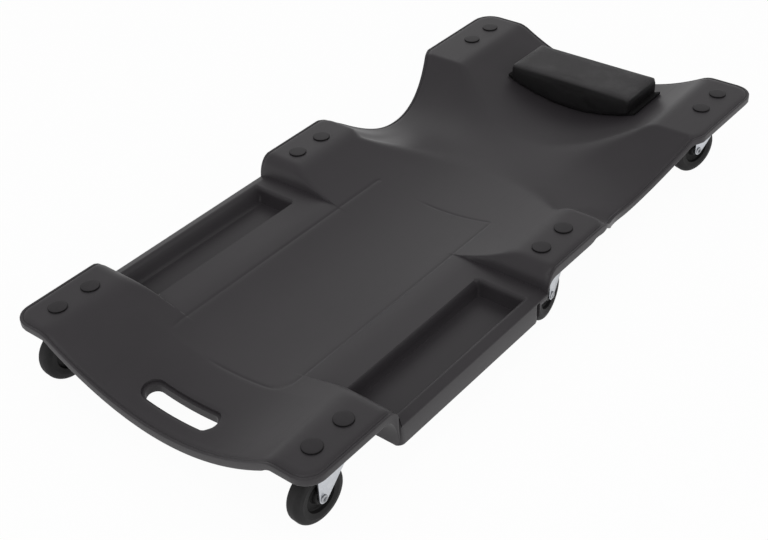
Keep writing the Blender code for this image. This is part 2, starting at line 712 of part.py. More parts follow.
def axle_mesh():
    """Rivet through both legs, headed outside them; its own axis runs along Y."""
    seat = LEG_OUTER + SEAT_GAP
    r, h = AXLE_HEAD_RADIUS, AXLE_HEAD_HEIGHT
    half = ((0.0, seat + h), (0.6 * r, seat + h), (r, seat), (AXLE_RADIUS, seat))
    profile = half + tuple((radius, -z) for radius, z in half[::-1])
    return turned_mesh("wheel_axle", profile, PIN_SIDES, along_y=True)


def bolt_mesh():
    """Low-domed bolt down through pad and plate; its origin is on the pad's top."""
    end = SEAT_GAP + PAD_THICKNESS + PLATE_SHEET + SEAT_GAP + NUT_HEIGHT + BOLT_END
    r, top = BOLT_HEAD_RADIUS, SEAT_GAP + BOLT_HEAD_HEIGHT
    profile = ((0.0, top), (0.6 * r, top - 0.25 * BOLT_HEAD_HEIGHT), (r, SEAT_GAP + BOLT_HEAD_EDGE),
               (r, SEAT_GAP), (BOLT_RADIUS, SEAT_GAP), (BOLT_RADIUS, -end), (0.0, -end))
    return turned_mesh("caster_bolt", profile, PIN_SIDES)


def nut_mesh():
    """Hexagon nut; its origin is on its axis at its upper face."""
    outer, inner = [], []
    bore = (BOLT_RADIUS + BORE_CLEARANCE) / math.cos(math.pi / PIN_SIDES)
    for i in range(PIN_SIDES):
        angle = 2 * math.pi * (i + 0.5) / PIN_SIDES
        from_flat = (angle + math.pi / 6) % (math.pi / 3) - math.pi / 6
        flat = NUT_ACROSS_FLATS / 2 / math.cos(from_flat)
        outer.append((flat * math.cos(angle), flat * math.sin(angle)))
        inner.append((bore * math.cos(angle), bore * math.sin(angle)))
    bm = bmesh.new()
    loft(bm, [at_height(outer, 0.0), at_height(outer, -NUT_HEIGHT),
              at_height(inner, -NUT_HEIGHT), at_height(inner, 0.0)], closed=True)
    return finish(bm, "caster_nut")


# Assembly

def build_deck_and_pillow():
    moulded = material("black_polyethylene", (0.055, 0.053, 0.056), 0.55)
    vinyl = material("black_vinyl", (0.030, 0.029, 0.031), 0.45)
    board = material("black_board", (0.012, 0.012, 0.012), 0.7)
    zinc = material("zinc_screw", (0.50, 0.51, 0.53), 0.35, 1.0)
    deck = place("deck", deck_mesh(), moulded, location=(0.0, 0.0, PAD_TOP_Z))
    boolean(deck, deck_cuts(), "DIFFERENCE")
    place("pillow_base", pillow_base_mesh(), board, deck)
    place("pillow_cushion", pillow_mesh(), vinyl, deck)
    screw = screw_mesh()
    seat = top_height(PILLOW_STATION, 0.0) - DECK_THICKNESS - SEAT_GAP
    for name, s in zip(("front", "rear"), screw_stations()):
        place(f"pillow_screw_{name}", screw, zinc, deck, (s - LENGTH / 2, 0.0, seat))


def build_casters():
    zinc = material("zinc_plate", (0.50, 0.51, 0.53), 0.32, 1.0)
    rivet = material("zinc_rivet", (0.42, 0.43, 0.45), 0.40, 1.0)
    black_bolt = material("black_bolt", (0.035, 0.034, 0.036), 0.45)
    tyre = material("black_wheel", (0.030, 0.030, 0.031), 0.50)
    plate, kingpin, fork = plate_mesh(), kingpin_mesh(), fork_mesh()
    wheel, axle, bolt, nut = wheel_mesh(), axle_mesh(), bolt_mesh(), nut_mesh()
    for name, x, y in caster_places():
        head = empty(f"caster_{name}", None, (x, y, 0.0))
        place(f"caster_plate_{name}", plate, zinc, head)
        place(f"kingpin_{name}", kingpin, rivet, head)
        for letter, along in (("a", -BOLT_SPACING / 2), ("b", BOLT_SPACING / 2)):
            place(f"caster_bolt_{name}_{letter}", bolt, black_bolt, head, (along, 0.0, PAD_TOP_Z))
            place(f"caster_nut_{name}_{letter}", nut, rivet, head, (along, 0.0, PLATE_UNDER_Z - SEAT_GAP))
        swivel = empty(f"swivel_{name}", head, (0.0, 0.0, 0.0), HEADINGS[name])
        place(f"caster_fork_{name}", fork, zinc, swivel)
        roller = empty(f"roller_{name}", swivel, (TRAIL, 0.0, AXLE_Z))
        place(f"wheel_{name}", wheel, tyre, roller)
        place(f"wheel_axle_{name}", axle, rivet, roller)


def main():
    for obj in list(bpy.data.objects):
        bpy.data.objects.remove(obj)
    build_deck_and_pillow()
    build_casters()


main()
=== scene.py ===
"""Looks of a low mechanic creeper: a satin black moulded deck, six zinc swivel casters and a vinyl pillow.

Sizes are in metres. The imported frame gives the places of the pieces. The deck's curves are the few formulas
that shape its solid, drawn at a finer step, with the small forms of the moulding added.
"""

import math

import bpy
import numpy as np
from mathutils import Matrix, Vector


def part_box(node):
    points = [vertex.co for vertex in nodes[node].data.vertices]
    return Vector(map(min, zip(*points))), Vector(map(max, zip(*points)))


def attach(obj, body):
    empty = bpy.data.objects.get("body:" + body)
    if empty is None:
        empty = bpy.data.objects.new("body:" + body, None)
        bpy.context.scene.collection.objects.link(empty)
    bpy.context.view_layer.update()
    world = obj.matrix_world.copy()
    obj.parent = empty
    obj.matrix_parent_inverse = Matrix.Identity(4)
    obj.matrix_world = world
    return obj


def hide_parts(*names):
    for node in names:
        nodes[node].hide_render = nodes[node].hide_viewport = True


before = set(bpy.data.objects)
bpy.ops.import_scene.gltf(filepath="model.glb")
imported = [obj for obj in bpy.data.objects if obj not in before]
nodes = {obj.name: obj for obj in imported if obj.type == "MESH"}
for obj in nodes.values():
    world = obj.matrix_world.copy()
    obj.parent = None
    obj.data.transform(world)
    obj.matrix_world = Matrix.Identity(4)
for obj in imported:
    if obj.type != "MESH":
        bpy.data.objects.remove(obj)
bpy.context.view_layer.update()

# Places read from the frame
DECK_LOW, DECK_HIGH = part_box("deck")
LENGTH = DECK_HIGH.x - DECK_LOW.x
PAD_TOP = DECK_HIGH.z
CASTERS = [f"{end}_{side}" for end in ("foot", "mid", "head") for side in ("left", "right")]

# Deck outline and edge
FOOT_HALF_WIDTH = 0.2421
HEAD_HALF_WIDTH = 0.2486
FOOT_CORNER = 0.027
HEAD_CORNER = 0.031
DECK_THICKNESS = 0.014
PAD_THICKNESS = 0.012
RIM_WIDTH = 0.0125
SHOULDER_REACH = 0.0072
SHOULDER_DROP = 0.0012
SHELF_EDGE_REACH = 0.0110
SHELF_EDGE_SLOPE = 0.27
PLATE_SEAT = 0.1835
PLATE_SEAT_RUN = 0.008

# Rim at the middle pads: it hangs lower there, and its lip is drawn up behind their outer corners
MID_SKIRT = 0.0035
SKIRT_END = 0.5530 * LENGTH
SKIRT_FADE = 0.014
LIP_WAVE = 0.0021
LIP_WAVE_WIDTH = 0.009

# Body cradle
FOOT_DEPTH = 0.058
PANEL_DEPTH = 0.0432
HEAD_DEPTH = 0.0506
CRADLE_HALF_WIDTH = 0.182
HEAD_CRADLE_HALF_WIDTH = 0.169
PANEL_START = 0.114 * LENGTH
PANEL_END = 0.5265 * LENGTH
FOOT_RISE_POWER = 1.25
CREASE_BLEND = 0.006
CREST_BLEND = 0.0035
WAIST_BLEND = 0.012

# Outline pressed into the middle of the cradle; the lines across fade out towards the left
PANEL_HALF_WIDTH = 0.097
PANEL_FOOT_CORNER = 0.025
PANEL_HEAD_CORNER = 0.005
PANEL_FADE = 0.035
PANEL_GROOVE_DEPTH = 0.0008
PANEL_GROOVE_WIDTH = 0.0016

# Arm cut-outs
ARM_START = 0.5755 * LENGTH
ARM_END = 0.8258 * LENGTH
ARM_CENTRE = (ARM_START + ARM_END) / 2
ARM_HALF_SPAN = (ARM_END - ARM_START) / 2
ARM_DIP = 0.0475
ARM_DROOP = 0.008
ARM_CUT = 0.0365
ARM_CUT_LEAD = 0.004
ARM_CUT_END = 0.8391 * LENGTH
ARM_FOOT_POWER = 1.5
CASTER_HALF_TRACK = 0.207

# Corners of the middle pads at the arms: the inner ones run out, the outer ones drop to the lip
PAD_INNER = 0.168
PAD_CORNER = 0.012
PAD_CORNER_SPREAD = 0.012
PAD_CORNER_TAIL = 0.050
PAD_ROUND = 0.011
PAD_ROUND_DROP = 0.0034
PAD_ROUND_FADE = 0.030

# Shelf and trays
SHELF_DROP = 0.0285
FOOT_PAD_END = 0.1487 * LENGTH
MID_PAD_START = 0.4385 * LENGTH
WALL_RUN = 0.020
TRAY_START = 0.1536 * LENGTH
TRAY_END = 0.4122 * LENGTH
TRAY_INNER = 0.1565
TRAY_OUTER = 0.2300
TRAY_LEAN = 0.013
TRAY_DEPTH = 0.0235
TRAY_CORNER = 0.005
TRAY_LIP = 0.0005
TRAY_WALL_RUN = 0.004
BOX_DROP = 0.0625
BOX_WALL = 0.009
BOX_START = TRAY_START - BOX_WALL
BOX_END = TRAY_END + BOX_WALL
BOX_SWEEP = 0.020
BOX_CORNER = 0.009

# Hand slot
SLOT_INSET = 0.0275
SLOT_WIDTH = 0.033
SLOT_LENGTH = 0.120
SLOT_STEP = 0.0055
SLOT_LEDGE = 0.004
SLOT_ROUND = 0.004
SLOT_LIP_DROP = 0.0010
SLOT_COLLAR = 0.0022

# Grid of the deck: its steps, how fast they grow away from a feature, and the half width they divide
FINE_STEP = 0.0009
COARSE_STEP = 0.0065
STEP_GROWTH = 0.35
GRID_HALF = 0.2290

# Caster pieces
AXLE_Z = 0.0375
WHEEL_RADIUS = 0.0375
TREAD_ROUND = 0.0066
FORK_SHEET = 0.0025
FORK_BEND = 0.0042
FORK_BEND_INSIDE = 0.0018
FORK_EDGE_ROUND = 0.0004
LEG_INNER = 0.012
LEG_OUTER = LEG_INNER + FORK_SHEET
EYE_RADIUS = 0.0065
CROWN_BACK = 0.017
RACE_HEIGHT = 0.0044
RACE_RADIUS = 0.016
RACE_ROUND = 0.0015
RACE_SINK = 0.0004
RACE_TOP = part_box("caster_fork_foot_left")[1].z
CROWN_TOP = RACE_TOP - RACE_HEIGHT
KINGPIN_BORE = 0.0053
AXLE_BORE = 0.0043
BOLT_HEAD_RADIUS = 0.0123
BOLT_HEAD_HEIGHT = 0.0019
BOLT_RADIUS = 0.004
HEAD_GAP = 0.0003

# Pillow cover
PILLOW_VOXEL = 0.004
PILLOW_PRESSURE = 4.0
PILLOW_FRAMES = 20
PILLOW_SHRINK = 0.0008
PILLOW_SWELL = 0.0010
PILLOW_CROWN = 0.0010
PILLOW_WRAP = 0.0034
PILLOW_TIGHT = 0.006
PILLOW_PROUD = 0.003
PILLOW_SEAM_DROP = 0.006
PILLOW_SEAM_DEPTH = 0.0005
PILLOW_SEAM_WIDTH = 0.0013
PILLOW_SIDE_SHARE = 0.47
# Depth below the pillow's top over which painted light makes the cover paler
PILLOW_TOP_LIGHT_DEPTH = 0.006

# Camera, with its angles in degrees and its lens in millimetres
CAMERA_PLACE = Vector((-1.153, -0.9055, 1.0488))
CAMERA_YAW, CAMERA_PITCH, CAMERA_ROLL = 40.36, 36.26, 3.17
CAMERA_LENS = 59.76
CAMERA_SENSOR = 36.0

# Floor and surroundings: their white for the eye, in reflections and in the light that they give
WHITE = (1.0, 1.0, 1.0, 1.0)
FLOOR_SIZE = 40.0
FLOOR_COLOUR = (0.90, 0.90, 0.90, 1.0)
FLOOR_WHITE = 0.965
FLOOR_SHINE = 0.65
FLOOR_GLOW = 0.25
SKY_FILL = 0.528
BACKDROP_SHINE = 0.60
BACKDROP_FULL, BACKDROP_TOP = 0.10, 0.36

# Lamps: name, place, the point they face, width and height, and power in watts
LAMPS = (
    ("back_left", (1.6, 1.5, 1.7), (0.0, 0.0, 0.1), (1.2, 1.2), 2.8),
    ("front_top", (-0.9, -0.5, 2.2), (0.0, 0.0, 0.1), (1.4, 1.4), 5.6),
    ("foot_spot", (-1.9, -0.3, 1.3), (-0.1, 0.0, 0.1), (0.35, 0.35), 3.5),
    ("right_side", (0.2, -2.2, 1.2), (0.0, 0.0, 0.1), (1.8, 1.2), 5.5),
)

# Closest distance at which two places count as one
TOUCH = 1e-6


# Modelling helpers

def start_clean():
    if bpy.context.object and bpy.context.object.mode != "OBJECT":
        bpy.ops.object.mode_set(mode="OBJECT")
    bpy.ops.object.select_all(action="DESELECT")


def choose(obj):
    """Make one object the only one selected, and the active one."""
    start_clean()
    bpy.context.view_layer.objects.active = obj
    obj.select_set(True)


def edit(obj):
    choose(obj)
    bpy.ops.object.mode_set(mode="EDIT")


def object_mode():
    bpy.ops.object.mode_set(mode="OBJECT")


def coordinates(obj):
    flat = np.empty(len(obj.data.vertices) * 3)
    obj.data.vertices.foreach_get("co", flat)
    return flat.reshape(-1, 3)


def set_coordinates(obj, points):
    obj.data.vertices.foreach_set("co", np.ascontiguousarray(points, dtype=float).ravel())
    obj.data.update()


def select_edges(obj, chosen):
    """Select in edit mode the edges for which chosen(a, b) holds, given the rows of their end points."""
    object_mode()
    points = coordinates(obj)
    ends = np.empty(len(obj.data.edges) * 2, dtype=np.int32)
    obj.data.edges.foreach_get("vertices", ends)
    for part in (obj.data.vertices, obj.data.polygons):
        part.foreach_set("select", np.zeros(len(part), dtype=bool))
    obj.data.edges.foreach_set("select", chosen(points[ends[0::2]], points[ends[1::2]]))
    bpy.ops.object.mode_set(mode="EDIT")
    bpy.ops.mesh.select_mode(type="EDGE")


def bend_shoulders(obj, height, radius, segments):
    """Round the edges at a height that run along X."""
    def at_shoulder(a, b):
        return (np.minimum(a[:, 2], b[:, 2]) > height - TOUCH) & (np.abs(a[:, 1] - b[:, 1]) < TOUCH)

    edit(obj)
    select_edges(obj, at_shoulder)
    bpy.ops.mesh.bevel(offset=radius, segments=segments)
    object_mode()


def apply_modifier(obj, kind, **settings):
    choose(obj)
    modifier = obj.modifiers.new(kind.title(), kind)
    for name, value in settings.items():
        setattr(modifier, name, value)
    bpy.ops.object.modifier_apply(modifier=modifier.name)


def cut(obj, cutter):
    apply_modifier(obj, "BOOLEAN", operation="DIFFERENCE", solver="EXACT", object=cutter)
    bpy.data.objects.remove(cutter)


def smooth(obj, angle):
    """Smooth shading, broken at edges that are sharper than the angle in degrees."""
    choose(obj)
    bpy.ops.object.shade_smooth_by_angle(angle=math.radians(angle))


def chain(name, points):
    """Object with one line through the points, drawn by extruding a single vertex."""
    start_clean()
    bpy.ops.mesh.primitive_plane_add(size=FINE_STEP)
    obj = bpy.context.object
    obj.name = name
    bpy.ops.object.mode_set(mode="EDIT")
    bpy.ops.mesh.select_mode(type="VERT")
    bpy.ops.mesh.select_all(action="SELECT")
    bpy.ops.mesh.merge(type="CENTER")
    bpy.ops.transform.translate(value=points[0])
    for before, after in zip(points, points[1:]):
        step = Vector(after) - Vector(before)
        bpy.ops.mesh.extrude_region_move(TRANSFORM_OT_translate={"value": step})
    bpy.ops.mesh.select_all(action="SELECT")
    return obj


def tidy_faces():
    bpy.ops.mesh.select_all(action="SELECT")
    bpy.ops.mesh.remove_doubles(threshold=TOUCH)
    bpy.ops.mesh.normals_make_consistent(inside=False)
    object_mode()


def turned(name, profile, steps, along_y=False):
    """Body of revolution from (radius, height) points, about Z or about Y."""
    points = [(r, h, 0.0) if along_y else (r, 0.0, h) for r, h in profile]
    obj = chain(name, points)
    axis = (0, 1, 0) if along_y else (0, 0, 1)
    bpy.ops.mesh.spin(steps=steps, angle=2 * math.pi, center=(0, 0, 0), axis=axis)
    tidy_faces()
    return obj


def arc(x, y, radius, first, last, count):
    """Points on an arc, with angles in degrees."""
    angles = np.radians(np.linspace(first, last, count))
    return [(x + radius * math.cos(a), y + radius * math.sin(a)) for a in angles]


def side_plate(name, outline, half_thickness):
    """Solid with an (x, z) outline, extruded across Y."""
    obj = chain(name, [(x, -half_thickness, z) for x, z in outline])
    bpy.ops.mesh.edge_face_add()
    bpy.ops.mesh.extrude_region_move(TRANSFORM_OT_translate={"value": (0, 2 * half_thickness, 0)})
    tidy_faces()
    return obj


def mark_radius(obj, radius, across):
    """Distance of each point from the piece's own axis, as a share of its radius."""
    share = np.linalg.norm(coordinates(obj)[:, across], axis=1) / radius
    layer = obj.data.attributes.new("from_axis", "FLOAT", "POINT")
    layer.data.foreach_set("value", share.astype(np.float32))


def copies(model, names, places):
    """One copy of a model at each place, with its own mesh and the place in the mesh."""
    made = []
    for name, place in zip(names, places):
        mesh = model.data.copy()
        mesh.transform(place)
        obj = bpy.data.objects.new(name, mesh)
        bpy.context.scene.collection.objects.link(obj)
        made.append(obj)
    bpy.data.objects.remove(model)
    return made


# Shape of the deck: s runs from the foot end, y to the left, and heights count from the pads' tops

def ease(t):
    """Smooth change from 0 to 1 as t does the same."""
    t = np.clip(t, 0.0, 1.0)
    return t * t * (3.0 - 2.0 * t)


def wall_rise(t):
    """Rise of a pad's wall from the shelf: a quarter of an ellipse, upright at its foot."""
    return np.sqrt(1.0 - (1.0 - np.clip(t, 0.0, 1.0)) ** 2)


def smooth_min(a, b, blend):
    """The lower of two heights, rounded where they cross."""
    h = np.clip(0.5 + 0.5 * (b - a) / blend, 0.0, 1.0)
    return b + (a - b) * h - blend * h * (1.0 - h)


def cradle_height(s, y):
    foot = np.clip(1.0 - s / PANEL_START, 0.0, 1.0) ** FOOT_RISE_POWER
    head = ease((s - PANEL_END) / (ARM_END - PANEL_END))
    depth = PANEL_DEPTH + (FOOT_DEPTH - PANEL_DEPTH) * foot + (HEAD_DEPTH - PANEL_DEPTH) * head
    half = CRADLE_HALF_WIDTH + (HEAD_CRADLE_HALF_WIDTH - CRADLE_HALF_WIDTH) * head
    return depth * ((y / half) ** 2 - 1.0)


def shelf_share(s):
    """1 on the shelf between the foot and middle pads, 0 on the pads and beyond."""
    return 1.0 - wall_rise((FOOT_PAD_END - s) / WALL_RUN) - wall_rise((s - MID_PAD_START) / WALL_RUN)


def arm_bite(s):
    """Share of the bite out of each edge: quick to its full depth from the foot, slower out to its end."""
    foot = np.clip((s - ARM_CENTRE) / (ARM_HALF_SPAN + ARM_CUT_LEAD) + 1.0, 0.0, 1.0)
    head = np.clip((s - ARM_CENTRE) / (ARM_CUT_END - ARM_CENTRE), 0.0, 1.0)
    return np.minimum(1.0 - (1.0 - foot ** ARM_FOOT_POWER) ** 3, 1.0 - head ** 2)


def half_width(s):
    plain = FOOT_HALF_WIDTH + (HEAD_HALF_WIDTH - FOOT_HALF_WIDTH) * s / LENGTH
    return plain - ARM_CUT * arm_bite(s)


def corner_loss(distance, radius):
    """Width lost to a round corner at a distance from its end."""
    reach = np.clip(radius - distance, 0.0, radius)
    return radius - np.sqrt(radius ** 2 - reach ** 2)


def field_half_width(s):
    """Half width of the deck's top inside its rim."""
    foot = corner_loss(s - RIM_WIDTH, FOOT_CORNER - RIM_WIDTH)
    head = corner_loss(LENGTH - RIM_WIDTH - s, HEAD_CORNER - RIM_WIDTH)
    return half_width(s) - RIM_WIDTH - foot - head


def pad_round(s, y):
    """Drop outside the rounded outer corner of a middle pad."""
    along = np.maximum(s - ARM_START + PAD_ROUND, 0.0)
    across = np.maximum(np.abs(y) - half_width(ARM_START) + RIM_WIDTH + PAD_ROUND, 0.0)
    outside = ease((np.hypot(along, across) - PAD_ROUND) / PAD_ROUND)
    fade = 1.0 - ease((s - ARM_START) / PAD_ROUND_FADE)
    return PAD_ROUND_DROP * outside * ease(along / PAD_ROUND) * ease(across / PAD_ROUND) * fade


def side_height(s, y):
    """Pads, the shelf between them, and the dip at the arms that bites the middle pads' inner corners."""
    along = (s - ARM_CENTRE) / ARM_HALF_SPAN
    spread = np.where(np.abs(y) > PAD_INNER, PAD_CORNER_SPREAD, PAD_CORNER_TAIL)
    corner = PAD_CORNER * np.exp(-((np.abs(y) - PAD_INNER) / spread) ** 2)
    along = along + corner / ARM_HALF_SPAN * ease(-along)
    dip = (ARM_DIP + ARM_DROOP * (y / CASTER_HALF_TRACK) ** 2) * (along ** 2 - 1.0)
    return smooth_min(-SHELF_DROP * shelf_share(s), dip, CREST_BLEND)


def plain_height(s, y):
    blend = CREASE_BLEND + WAIST_BLEND * ease(1.0 - np.abs(s - ARM_CENTRE) / ARM_HALF_SPAN)
    return smooth_min(cradle_height(s, y), side_height(s, y), blend)


def box_distance(s, y, s0, s1, y0, y1, corner):
    """Distance outside a rectangle with round corners; negative inside."""
    qs = np.abs(s - (s0 + s1) / 2) - (s1 - s0) / 2 + corner
    qy = np.abs(y - (y0 + y1) / 2) - (y1 - y0) / 2 + corner
    outside = np.hypot(np.maximum(qs, 0.0), np.maximum(qy, 0.0))
    return outside + np.minimum(np.maximum(qs, qy), 0.0) - corner


def slot_distance(s, y):
    half = SLOT_LENGTH / 2
    return box_distance(s, y, SLOT_INSET, SLOT_INSET + SLOT_WIDTH, -half, half, SLOT_WIDTH / 2)


def tray_depth(s, y):
    """Tool tray: steep at its ends and towards the cradle, leaning out on its outer side."""
    beyond = 2.0 * TRAY_OUTER
    steep = box_distance(s, np.abs(y), TRAY_START, TRAY_END, TRAY_INNER, beyond, TRAY_CORNER)
    outer = ease((TRAY_OUTER - np.abs(y)) / TRAY_LEAN)
    return TRAY_DEPTH * np.minimum(ease((TRAY_LIP - steep) / TRAY_WALL_RUN), outer)


def panel_groove(s, y):
    half = PANEL_HALF_WIDTH
    corner = np.where(s < (PANEL_START + PANEL_END) / 2, PANEL_FOOT_CORNER, PANEL_HEAD_CORNER)
    distance = box_distance(s, y, PANEL_START, PANEL_END, -half, half, corner)
    across = np.abs(y) < half - 2.0 * PANEL_GROOVE_WIDTH
    kept = 1.0 - across * ease(y / PANEL_FADE)
    return PANEL_GROOVE_DEPTH * kept * np.exp(-(distance / PANEL_GROOVE_WIDTH) ** 2)


def top_height(s, y):
    """Upper face with the trays, the pads' round corners, the pressed outline and the slot's rolled lip."""
    lip = 1.0 - ease(slot_distance(s, y) / SLOT_ROUND)
    pressed = tray_depth(s, y) + panel_groove(s, y) + SLOT_LIP_DROP * lip ** 2
    return plain_height(s, y) - pressed - pad_round(s, y)


def under_height(s, y):
    """Lower face: flat over the caster plates, boxed under the trays, turned down at the slot."""
    seat = ease((np.abs(y) - PLATE_SEAT) / PLATE_SEAT_RUN + 1.0)
    plain = plain_height(s, y) - DECK_THICKNESS
    plain = plain + (side_height(s, y) - PAD_THICKNESS - plain) * seat
    along = np.clip(np.minimum(s - BOX_START, BOX_END - s) / BOX_SWEEP + 1.0, 0.0, 1.0)
    sweep = 1.0 - np.sqrt(1.0 - along ** 2)
    inside = ease((np.abs(y) - TRAY_INNER) / BOX_WALL + 1.0)
    boxed = -PAD_THICKNESS - (BOX_DROP - PAD_THICKNESS) * sweep * inside
    collar = SLOT_COLLAR * (1.0 - ease(slot_distance(s, y) / SLOT_ROUND - 1.0))
    return np.minimum(plain, boxed) - collar


def graded(low, high, features):
    """Lines from low to high, closer together near the features."""
    lines = [low]
    while lines[-1] < high:
        gap = min(abs(lines[-1] - f) for f in features)
        lines.append(lines[-1] + min(COARSE_STEP, FINE_STEP + STEP_GROWTH * gap))
    lines = np.array(lines)
    return low + (lines - low) * (high - low) / (lines[-1] - low)


def deck_grid():
    """Stations, and at each one the distances from the centre line, of the deck's grid."""
    wall = TRAY_WALL_RUN / 2 - TRAY_LIP
    first, last = RIM_WIDTH, LENGTH - RIM_WIDTH
    stations = graded(first, last, (
        first, SLOT_INSET, SLOT_INSET + SLOT_WIDTH, PANEL_START, FOOT_PAD_END, BOX_START, TRAY_START + wall,
        TRAY_END - wall, BOX_END, MID_PAD_START, PANEL_END, ARM_START, ARM_END, last))
    inner = graded(0.0, GRID_HALF, (
        PANEL_HALF_WIDTH, TRAY_INNER + wall, TRAY_OUTER - TRAY_LEAN, GRID_HALF))
    rows = []
    for limit in field_half_width(stations):
        half = np.append(inner * min(1.0, (limit - FINE_STEP) / GRID_HALF), limit)
        rows.append(np.concatenate((-half[:0:-1], half)))
    return stations, np.array(rows)


def lipped_edge():
    """Edge at the pads and arms, as distance out and drop: a round shoulder, a groove and a flat lip."""
    turns = np.radians((20, 40, 58, 74, 90))
    shoulder = [(SHOULDER_REACH * math.sin(a), SHOULDER_DROP * (1.0 - math.cos(a))) for a in turns]
    groove = [(0.0077, 0.0020), (0.0084, 0.0023), (0.0090, 0.0020)]
    lip = [(0.0096, 0.0013), (0.0114, 0.0011), (0.0122, 0.0014), (RIM_WIDTH, 0.0022), (RIM_WIDTH, 0.0031)]
    return np.array(shoulder + groove + lip)


def plain_edge(count):
    """Edge along the trays, as distance out and drop: a gentle slope and a rounded corner."""
    corner = [(0.0118, 0.0033), (0.0123, 0.0038)]
    corner += [(RIM_WIDTH, drop) for drop in (0.0046, 0.0054, 0.0062)]
    slope = np.linspace(0.0, SHELF_EDGE_REACH, count - len(corner) + 1)[1:]
    return np.array([(out, SHELF_EDGE_SLOPE * out) for out in slope] + corner)


def foot_edge():
    """Lower edge, as distance out and drop from the lower face."""
    return np.array([(RIM_WIDTH, -0.0020), (0.0120, -0.0006), (0.0111, 0.0)])


def perimeter(count_s, count_y):
    """Grid indices round the edge of the deck, in order."""
    right = [(i, 0) for i in range(count_s)]
    head = [(count_s - 1, j) for j in range(1, count_y - 1)]
    left = [(i, count_y - 1) for i in range(count_s - 1, -1, -1)]
    foot = [(0, j) for j in range(count_y - 2, 0, -1)]
    return np.array(right + head + left + foot)


def outward(points):
    """Plan direction out of each corner of a ring, long enough to offset both its edges by one."""
    along = np.roll(points, -1, axis=0) - points
    along /= np.linalg.norm(along, axis=1)[:, None]
    normal = np.stack((along[:, 1], -along[:, 0]), axis=1)
    both = normal + np.roll(normal, 1, axis=0)
    return 2.0 * both / (both ** 2).sum(axis=1)[:, None]


def ringed_slab(name, count_s, count_y, cuts):
    """Sheet of points, pulled down into a slab whose wall is cut into rings; each point's place in it."""
    start_clean()
    bpy.ops.mesh.primitive_grid_add(x_subdivisions=count_s - 1, y_subdivisions=count_y - 1, size=2.0)
    slab = bpy.context.object
    slab.name = name
    bpy.ops.object.mode_set(mode="EDIT")
    bpy.ops.mesh.select_all(action="SELECT")
    bpy.ops.mesh.extrude_region_move(TRANSFORM_OT_translate={"value": (0, 0, -1)})
    select_edges(slab, lambda a, b: np.abs(a[:, 2] - b[:, 2]) > 0.5)
    bpy.ops.mesh.subdivide(number_cuts=cuts)
    object_mode()
    grid = coordinates(slab)
    i = np.rint((grid[:, 0] + 1.0) / 2.0 * (count_s - 1)).astype(int)
    j = np.rint((grid[:, 1] + 1.0) / 2.0 * (count_y - 1)).astype(int)
    level = np.rint(-grid[:, 2] * (cuts + 1)).astype(int)
    return slab, i, j, level


def make_deck():
    """Slab whose points are put on the deck's curves, with the hand slot cut through it."""
    stations, rows = deck_grid()
    count_s, count_y = rows.shape
    lipped, lower = lipped_edge(), foot_edge()
    cuts = len(lipped) + len(lower)
    deck, i, j, level = ringed_slab("deck_moulding", count_s, count_y, cuts)
    s, y = stations[i], rows[i, j]
    edge = perimeter(count_s, count_y)
    plan = np.stack((stations[edge[:, 0]], rows[edge[:, 0], edge[:, 1]]), axis=1)
    out = np.zeros((count_s, count_y, 2))
    out[edge[:, 0], edge[:, 1]] = outward(plan)
    none = np.zeros((1, 2))
    at_pads = np.concatenate((none, lipped, lower, none))
    at_shelf = np.concatenate((none, plain_edge(len(lipped)), lower, none))
    distance, drop = (at_pads[level] + (at_shelf - at_pads)[level] * shelf_share(s)[:, None]).T
    from_top = level <= len(lipped)
    under_lip = (level >= len(lipped)) & (level <= cuts)
    x = s + distance * out[i, j, 0]
    y = y + distance * out[i, j, 1]
    z = np.where(from_top, top_height(s, y), under_height(s, y) - under_lip * skirt(s)) - drop
    y = y - np.sign(y) * under_lip * box_corner(s)
    set_coordinates(deck, np.stack((x + DECK_LOW.x, y, z + PAD_TOP), axis=1))
    edit(deck)
    tidy_faces()
    cut(deck, slot_cutter())
    smooth(deck, 50.0)
    return deck


def skirt(s):
    """How much lower the rim hangs at the middle pads; it is drawn up behind their outer corners."""
    hang = MID_SKIRT * ease((s - MID_PAD_START) / WALL_RUN) * ease((SKIRT_END - s) / SKIRT_FADE)
    beyond = (s - ARM_START) / LIP_WAVE_WIDTH
    return hang - LIP_WAVE * beyond * np.exp(0.5 - 0.5 * beyond ** 2)


def box_corner(s):
    """How far the rounded upright corners of the tray boxes lie inside the deck's edge."""
    inside = np.minimum(s - BOX_START, BOX_END - s)
    return np.where(inside < 0.0, 0.0, corner_loss(inside, BOX_CORNER))


def slot_cutter():
    """The slot's mouth as a face, pulled down to the ledge, inset, and pulled down through the deck."""
    radius, reach = SLOT_WIDTH / 2, (SLOT_LENGTH - SLOT_WIDTH) / 2
    middle = DECK_LOW.x + SLOT_INSET + radius
    plan = []
    for side in (1, -1):
        plan += [(middle + side * px, side * py) for px, py in arc(0.0, reach, radius, 0.0, 180.0, 22)]
        plan += [(middle - side * radius, side * py) for py in np.linspace(reach, -reach, 9)[1:-1]]
    cutter = chain("slot_cutter", [(px, py, PAD_TOP) for px, py in plan])
    bpy.ops.mesh.edge_face_add()
    bpy.ops.mesh.extrude_region_move(TRANSFORM_OT_translate={"value": (0, 0, -FOOT_DEPTH)})
    bpy.ops.mesh.inset(thickness=SLOT_LEDGE)
    bpy.ops.mesh.extrude_region_move(TRANSFORM_OT_translate={"value": (0, 0, -FOOT_DEPTH)})
    tidy_faces()
    points = coordinates(cutter)
    ledge = np.abs(points[:, 2] - PAD_TOP + FOOT_DEPTH) < FINE_STEP
    flat = points[ledge]
    points[ledge, 2] = PAD_TOP + plain_height(flat[:, 0] - DECK_LOW.x, flat[:, 1]) - SLOT_STEP
    set_coordinates(cutter, points)
    return cutter


# Caster pieces, modelled under the swivel axis with the wheel trailing towards +X

